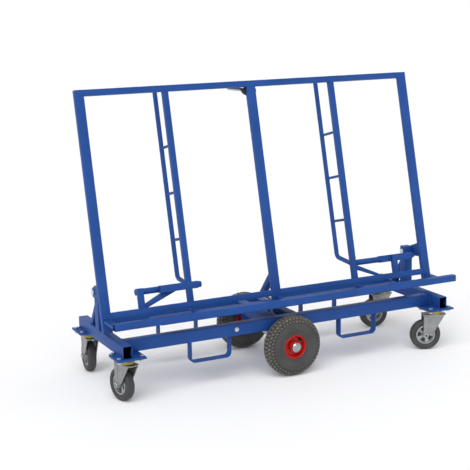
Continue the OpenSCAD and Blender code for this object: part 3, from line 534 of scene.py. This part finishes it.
class Beads:
    def __init__(self):
        self.verts, self.faces = [], []

    def run(self, place, x, y, z, radius):
        """Bead along the one axis that has a start and an end."""
        ends = [[v[i] if isinstance(v, tuple) else v for v in (x, y, z)] for i in (0, 1)]
        a, b = place(*ends[0]), place(*ends[1])
        along = b - a
        length = along.length
        along = along / length
        side = along.orthogonal().normalized()
        up = along.cross(side)
        pitch = radius * PITCH_SHARE
        count = max(BEAD_LEAST_STEPS, int(length / (pitch / BEAD_PITCH_STEPS) + STEP_SLACK))
        start = len(self.verts)
        for i in range(count + 1):
            s = i / count * length
            ripple = 1.0 - RIPPLE_SHARE + RIPPLE_SHARE * abs(math.cos(math.pi * s / pitch))
            blunt = radius * BLUNT_SHARE
            taper = min(1.0, (s + blunt) / radius, (length - s + blunt) / radius)
            r = radius * ripple * max(TIP_SHARE, taper)
            for j in range(BEAD_SIDES):
                ang = TURN * j / BEAD_SIDES
                self.verts.append(a + along * s + (side * math.cos(ang) + up * math.sin(ang)) * r)
        self.faces += tube_faces(start, count + 1, BEAD_SIDES)

    def make(self, name, body):
        mesh = new_mesh(name, self.verts, self.faces)
        smooth_mesh(mesh, BEAD_SMOOTH)
        add_object(name, mesh, body, "frame_blue")


def base_welds():
    w = Beads()
    thin = BASE_BEAD * THIN_SHARE
    sides = (TUBE_LOW + SIDE_SHORT, TUBE_TOP - SIDE_SHORT)
    for sx in SIDES:
        for sy in SIDES:
            for y in (RAIL_IN, RAIL_OUT):
                w.run(cart, sx * CROSS_IN, sy * y, sides, BASE_BEAD)
            top = (sy * (RAIL_IN + TOP_SHORT), sy * (RAIL_OUT - TOP_SHORT))
            w.run(cart, sx * CROSS_IN, top, TUBE_TOP, thin)
            for x, start in ((CROSS_IN, RAIL_OUT + TOP_SHORT), (CROSS_OUT, CORNER_START)):
                w.run(cart, sx * x, (sy * start, sy * CORNER_END), TUBE_LOW, BASE_BEAD)
            for x in LOOP_FACES:
                leg = (sy * RAIL_MID - LOOP_REACH, sy * RAIL_MID + LOOP_REACH)
                w.run(cart, sx * x, leg, TUBE_LOW, thin)
        for x in MEMBER_FACES:
            for sy in SIDES:
                w.run(cart, sx * x, sy * RAIL_IN, sides, BASE_BEAD)
        for y in (UPRIGHT_FRONT, UPRIGHT_REAR):
            w.run(cart, (sx * (CROSS_IN + TOP_SHORT), sx * (CROSS_OUT - TOP_SHORT)), y, TUBE_TOP, BASE_BEAD)
        brace = (sx * (CROSS_IN + BRACE_SHORT), sx * (CROSS_OUT - BRACE_SHORT))
        w.run(cart, brace, UPRIGHT_REAR, BRACE_TOP, thin)
    for sy in SIDES:
        for d in (-HANGER_HALF, HANGER_HALF):
            w.run(cart, (-HANGER_REACH, HANGER_REACH), sy * RAIL_MID + d, TUBE_LOW, BASE_BEAD)
    w.make("welds_base", "base")


def rack_welds():
    w = Beads()
    deep = (RACK_FRONT + END_SHORT, RACK_REAR - END_SHORT)
    top = (TOP_SEAM + END_SHORT, RACK_TOP - END_SHORT)
    for sx in SIDES:
        for z in (TOP_SEAM, SEAT_SEAM, LOW_SEAM):
            w.run(rack, sx * END_IN, deep, z, RACK_BEAD)
        w.run(rack, sx * END_IN, RACK_REAR, top, RACK_BEAD * THIN_SHARE)
        for d in (-INNER_HALF, INNER_HALF):
            for z in (TOP_SEAM, SEAT_SEAM):
                w.run(rack, sx * INNER_X + d, deep, z, RACK_BEAD)
        for d in (-REST_HALF, REST_HALF):
            w.run(rack, sx * (REST_OUT - REST_HALF) + d, deep, SEAT_SEAM, RACK_BEAD)
        for z in (TOP_SEAM, SEAT_SEAM, LOW_SEAM):
            w.run(rack, sx * CENTRE_HALF, deep, z, RACK_BEAD)
        for x in (EAR_OUT - EAR_THICK, EAR_OUT):
            w.run(rack, sx * x, RACK_REAR, (-EAR_FOOT, EAR_FOOT), RACK_BEAD)
        for x, half in ((END_MID, END_ARM_HALF), (INNER_X, ARM_HALF)):
            for d in (-half, half):
                w.run(cart, sx * x + d, ARM_Y, ARM_SEAM, RACK_BEAD)
    for d in (-ARM_HALF, ARM_HALF):
        w.run(cart, d, ARM_Y, ARM_SEAM, RACK_BEAD)
    w.make("welds_rack", "rack")


# Pieces of the rack whose outline differs a little from the CAD node. Each shape moves a point of its node

LATCH_Z = rounded(to_rack(JOINT_AT["latch_turn"]), BOX_DIGITS).z
KNOB_BORE, KNOB_RISE, KNOB_SQUASH, LEVER_RISE = 0.020, 0.0095, 0.60, 0.16
_, BAR_Y, BAR_Z = middle(rack_box("rest_bars"))
BAR_FORWARD, TIP_R, TIP_GROWTH = 0.0205, 0.0105, 1.28
TUBE_END_LEFT, TUBE_END_RIGHT = -REST_OUT, 0.404
DIAG_SPLIT, DIAG_LEFT_MID, DIAG_WIDER = -0.0700, -0.475, 0.040
DIAG_HEAD_UP, DIAG_FOOT_OUT = 0.016, 0.020


def wide_post(x, y, z):
    """An inner post, wider on both sides."""
    return x + math.copysign(INNER_WIDEN, abs(x) - INNER_X) * math.copysign(1.0, x), y, z


def oval_knob(x, y, z):
    """Squashed and raised round the pivot's bore."""
    if math.hypot(x, z - LATCH_Z) > KNOB_BORE:
        z = LATCH_Z + KNOB_RISE + (z - LATCH_Z) * KNOB_SQUASH
    return x, y, z


def raised_lever(x, y, z):
    """Rising towards its end on the left."""
    return x, y, z + max(0.0, -x) * LEVER_RISE


def forward_bar(x, y, z):
    """The left bar across the front of its inner post, with a tip nearly as thick as the bar."""
    if x > 0.0:
        return x, y, z
    grow = TIP_GROWTH if math.hypot(y - BAR_Y, z - BAR_Z) < TIP_R else 1.0
    return x, BAR_Y - BAR_FORWARD + (y - BAR_Y) * grow, BAR_Z + (z - BAR_Z) * grow


def short_tube(x, y, z):
    """The left end of each tube, cut back to its post."""
    return max(x, TUBE_END_RIGHT if x > 0.0 else TUBE_END_LEFT), y, z


def broad_diagonals(x, y, z):
    """The left one broader under its bar, the right one from higher up on the inner post."""
    if x < 0.0:
        return (x - DIAG_WIDER if z > DIAG_SPLIT and x < DIAG_LEFT_MID else x), y, z
    return (x, y, z + DIAG_HEAD_UP) if z > DIAG_SPLIT else (x + DIAG_FOOT_OUT, y, z)


# Truss rods: a round bar behind each inner post, bent in at both ends, with short struts

ROD_INWARD, ROD_BEHIND, ROD_SINK, ROD_R = 0.0055, 0.132, 0.001, 0.010
ROD_X, ROD_Y, ROD_SEAT = INNER_X - ROD_INWARD, RACK_FRONT + ROD_BEHIND, RACK_REAR - ROD_SINK
ROD_FOOT, ROD_HEEL, ROD_HEAD, ROD_NECK = -0.020, 0.0145, 0.832, 0.809
ROD_BENDS, BEND_STEPS, ROD_SIDES = (0.024, 0.015), 8, 24
STRUT_R, STRUT_Z = 0.006, (0.177, 0.374, 0.572)


def rounded_path(corners, bends):
    """Points through the corners, with the inner corners rounded."""
    points = [corners[0]]
    for a, b, c, bend in zip(corners, corners[1:], corners[2:], bends):
        u, v = (a - b).normalized(), (c - b).normalized()
        half = u.angle(v) / 2
        centre = b + (u + v).normalized() * (bend / math.sin(half))
        reach = bend / math.tan(half)
        start, end = (b + u * reach - centre) / bend, (b + v * reach - centre) / bend
        for i in range(BEND_STEPS + 1):
            points.append(centre + start.slerp(end, i / BEND_STEPS).normalized() * bend)
    return points + [corners[-1]]


def add_bar(verts, faces, points, radius):
    """Round bar along points that lie in a plane square to the cart's length, with closed ends."""
    start = len(verts)
    for i, p in enumerate(points):
        along = (points[min(i + 1, len(points) - 1)] - points[max(i - 1, 0)]).normalized()
        normal = along.cross(ALONG)
        for j in range(ROD_SIDES):
            a = TURN * j / ROD_SIDES
            verts.append(p + (ALONG * math.cos(a) + normal * math.sin(a)) * radius)
    faces += tube_faces(start, len(points), ROD_SIDES)


def truss_rod(node, side):
    x = side * ROD_X
    corners = [rack(x, ROD_SEAT, ROD_FOOT), rack(x, ROD_Y, ROD_HEEL), rack(x, ROD_Y, ROD_HEAD),
               rack(x, ROD_SEAT, ROD_NECK)]
    verts, faces = [], []
    add_bar(verts, faces, rounded_path(corners, ROD_BENDS), ROD_R)
    for z in STRUT_Z:
        add_bar(verts, faces, [rack(x, ROD_SEAT, z), rack(x, ROD_Y, z)], STRUT_R)
    mesh = new_mesh(node + "_form", verts, faces)
    smooth_mesh(mesh, FORM_SMOOTH)
    add_form(node, mesh)


# Small fittings: the bolt in the front rail and the valves of the centre wheels

BOLT_PLACE, BOLT_ACROSS, BOLT_HIGH, WASHER_STEPS = (-0.239, -RAIL_OUT, 0.223), 0.013, 0.007, 40
CROWN_HIGH_SHARE, WASHER_HIGH_SHARE, EDGE_HIGH_SHARE = 0.80, 0.16, 0.10
CROWN_R_SHARE, BORE_R_SHARE, WASHER_R_SHARE, EDGE_R_SHARE = 0.80, 0.7, 1.25, 1.32
VALVE_X, VALVE_OUT, VALVE_UP, VALVE_STEPS = 0.030, 0.006, 0.024, 20
VALVE = [(0.0, 0.024), (0.0032, 0.024), (0.0040, 0.021), (0.0040, 0.013), (0.0030, 0.012), (0.0030, 0.006),
         (0.0045, 0.0), (0.0045, -0.010)]


def rail_bolt():
    """Hexagon head with a chamfered crown, and a washer under it."""
    rad, top, low = BOLT_ACROSS / math.sqrt(3.0), BOLT_HIGH, BOLT_HIGH * WASHER_HIGH_SHARE
    edge, rim = rad * WASHER_R_SHARE, rad * EDGE_R_SHARE
    outlines = {"head": [(0.0, top), (rad * CROWN_R_SHARE, top), (rad, top * CROWN_HIGH_SHARE), (rad, low)],
                "washer": [(edge, low), (rim, top * EDGE_HIGH_SHARE), (rim, 0.0)],
                "washer_top": [(rad * BORE_R_SHARE, low), (edge, low)]}
    for part, outline in outlines.items():
        name = "rail_bolt_" + part
        steps = 6 if part == "head" else WASHER_STEPS
        mesh = turned_mesh(name, outline, cart(*BOLT_PLACE), (0, -1, 0), ALONG, steps)
        if part == "head":
            mesh.polygons.foreach_set("use_smooth", [False] * len(mesh.polygons))
        add_object(name, mesh, "base", "zinc")


def valve(end, side):
    name = "valve_" + end
    stem = JOINT_AT["wheel_spin_" + end] + Vector((VALVE_X, side * VALVE_OUT, VALVE_UP))
    mesh = turned_mesh(name, VALVE, stem, (0, side, 0), ALONG, VALVE_STEPS)
    add_object(name, mesh, "wheel_" + end, "knob_black")


# The whole cart. Rounding of the edges: width and steps

TUBE_EDGE, RACK_EDGE, PLATE_EDGE, TURNED_EDGE = (0.0030, 3), (0.0018, 3), (0.0010, 2), (0.0008, 2)
FORK_EDGE, CAP_EDGE, KNOB_EDGE, CAP_HARD = (0.0012, 2), (0.0012, 3), (0.0030, 4), 25.0
BASE_TUBES = ["cross_tube_left", "cross_tube_right", "rail_front", "rail_rear", "centre_members",
              "upright_left", "upright_right"]
RACK_TUBES = ["top_rail", "end_post_left", "end_post_right", "centre_post", "back_rail", "tray_rail",
              "tray_arms", "rest_posts"]
PLATES = ["fork_loop_front_left", "fork_loop_front_right", "fork_loop_rear_left", "fork_loop_rear_right",
          "corner_plates", "braces", "axle_hangers", "stop_plate", "hinge_ears", "tray_floor", "centre_strut"]
TURNED = ["castor_heads", "castor_bolts", "hinge_pins", "axle", "axle_nuts", "stop_foot", "latch_pin"]
WHEEL_ENDS = (("front", -1), ("rear", 1))

for key in CASTORS:
    castor_tyre(key)
    dress("castor_rim_" + key, PLATE_EDGE)
    dress("castor_fork_" + key, FORK_EDGE)
    castor_fittings(key)
for end, side in WHEEL_ENDS:
    pneumatic_tyre(end, side)
for end, side in WHEEL_ENDS:
    pressed_rim(end, side)
for end, _ in WHEEL_ENDS:
    dress("hub_cap_" + end, CAP_EDGE, CAP_HARD)
for nodes, edge in ((BASE_TUBES, TUBE_EDGE), (RACK_TUBES, RACK_EDGE), (PLATES, PLATE_EDGE),
                    (TURNED, TURNED_EDGE)):
    for node in nodes:
        dress(node, edge)
dress("latch_knob", KNOB_EDGE, shape=oval_knob)
dress("latch_lever", TURNED_EDGE, shape=raised_lever)
dress("rest_bars", RACK_EDGE, shape=forward_bar)
dress("rest_tubes", TURNED_EDGE, shape=short_tube)
dress("rest_diagonals", PLATE_EDGE, shape=broad_diagonals)
for name, side in (("left", -1), ("right", 1)):
    dress("inner_post_" + name, RACK_EDGE, shape=wide_post)
    truss_rod("truss_rod_" + name, side)
base_welds()
rack_welds()
rail_bolt()
for end, side in WHEEL_ENDS:
    valve(end, side)

# Floor, world and lights

FLOOR_R, FLOOR_SIDES = 150.0, 64
FLOOR_TONES, FLOOR_SCALE, FLOOR_DETAIL = [(0.945, 0.945, 0.95), (0.955, 0.955, 0.96)], 0.8, 3.0
FLOOR_ROUGH, FLOOR_SHINE = 0.7, 0.15
SKY_TONES, SKY_STOPS = [(1.0, 1.0, 1.0), (0.50, 0.50, 0.51)], (0.22, 0.55)
FILL_PLACE, FILL_TARGET, FILL_SIZE, FILL_POWER = Vector((3.4, -3.0, 2.2)), Vector((0.0, 0.0, 0.5)), 2.4, 8.0
SUN_AIM, SUN_POWER, SUN_ANGLE = Vector((0.40, 0.52, -0.76)), 2.1, math.radians(55.0)

floor_points = [(FLOOR_R * math.cos(TURN * i / FLOOR_SIDES), FLOOR_R * math.sin(TURN * i / FLOOR_SIDES), 0.0)
                for i in range(FLOOR_SIDES)]
floor_obj = bpy.data.objects.new("floor", new_mesh("floor", floor_points, [tuple(range(FLOOR_SIDES))]))
SCENE.collection.objects.link(floor_obj)
floor_mat, floor_nt, floor_bsdf = material("pale_floor")
floor_colour = ramp(floor_nt, noise(floor_nt, FLOOR_SCALE, FLOOR_DETAIL), FLOOR_TONES)
floor_nt.links.new(floor_colour, floor_bsdf.inputs["Base Color"])
floor_bsdf.inputs["Roughness"].default_value = FLOOR_ROUGH
floor_bsdf.inputs["Specular IOR Level"].default_value = FLOOR_SHINE
floor_obj.data.materials.append(floor_mat)

SCENE.world = bpy.data.worlds.new("studio")
SCENE.world.use_nodes = True
sky_nt = SCENE.world.node_tree
sky = sky_nt.nodes["Background"]
sky_coord = sky_nt.nodes.new("ShaderNodeTexCoord")
sky_axis = sky_nt.nodes.new("ShaderNodeSeparateXYZ")
sky_nt.links.new(sky_coord.outputs["Generated"], sky_axis.inputs["Vector"])
sky_nt.links.new(ramp(sky_nt, sky_axis.outputs["Z"], SKY_TONES, SKY_STOPS), sky.inputs["Color"])
sky.inputs["Strength"].default_value = 1.0


def add_light(name, kind, power, aim, place=(0.0, 0.0, 0.0)):
    data = bpy.data.lights.new(name, kind)
    data.energy = power
    obj = bpy.data.objects.new(name, data)
    obj.location = place
    obj.rotation_euler = aim.to_track_quat("-Z", "Y").to_euler()
    SCENE.collection.objects.link(obj)
    return data


fill = add_light("fill", "AREA", FILL_POWER, FILL_TARGET - FILL_PLACE, FILL_PLACE)
fill.shape = "DISK"
fill.size = FILL_SIZE
sun = add_light("key", "SUN", SUN_POWER, SUN_AIM)
sun.angle = SUN_ANGLE

# Camera, fitted to the photograph: focal length and picture in pixels, sensor in millimetres

SCALE = 0.985e-3  # metres to one millimetre of the fit
FOCAL, PICTURE, SENSOR, CLIP_END = 1190.4, 470.0, 36.0, 500.0
AZ, EL, ROLL = math.radians(26.11), math.radians(11.55), math.radians(-1.12)
FIT_DISTANCE, FIT_X, FIT_Z = 5187.0, -148.9, 592.1
DIST, TARGET = FIT_DISTANCE * SCALE, SHIFT + Vector((FIT_X * SCALE, 0.0, FIT_Z * SCALE))

look = Vector((math.sin(AZ) * math.cos(EL), math.cos(AZ) * math.cos(EL), -math.sin(EL)))
level = Vector((math.cos(AZ), -math.sin(AZ), 0.0))
upright = level.cross(look)
right = level * math.cos(ROLL) + upright * math.sin(ROLL)
up = upright * math.cos(ROLL) - level * math.sin(ROLL)
camera_data = bpy.data.cameras.new("camera")
camera_data.sensor_width = SENSOR
camera_data.lens = FOCAL / PICTURE * SENSOR
camera_data.clip_end = CLIP_END
camera = bpy.data.objects.new("camera", camera_data)
camera_turn = Matrix((right, up, -look)).transposed().to_4x4()
camera.matrix_world = Matrix.Translation(TARGET - look * DIST) @ camera_turn
SCENE.collection.objects.link(camera)
SCENE.camera = camera
SCENE.view_settings.view_transform = "Standard"
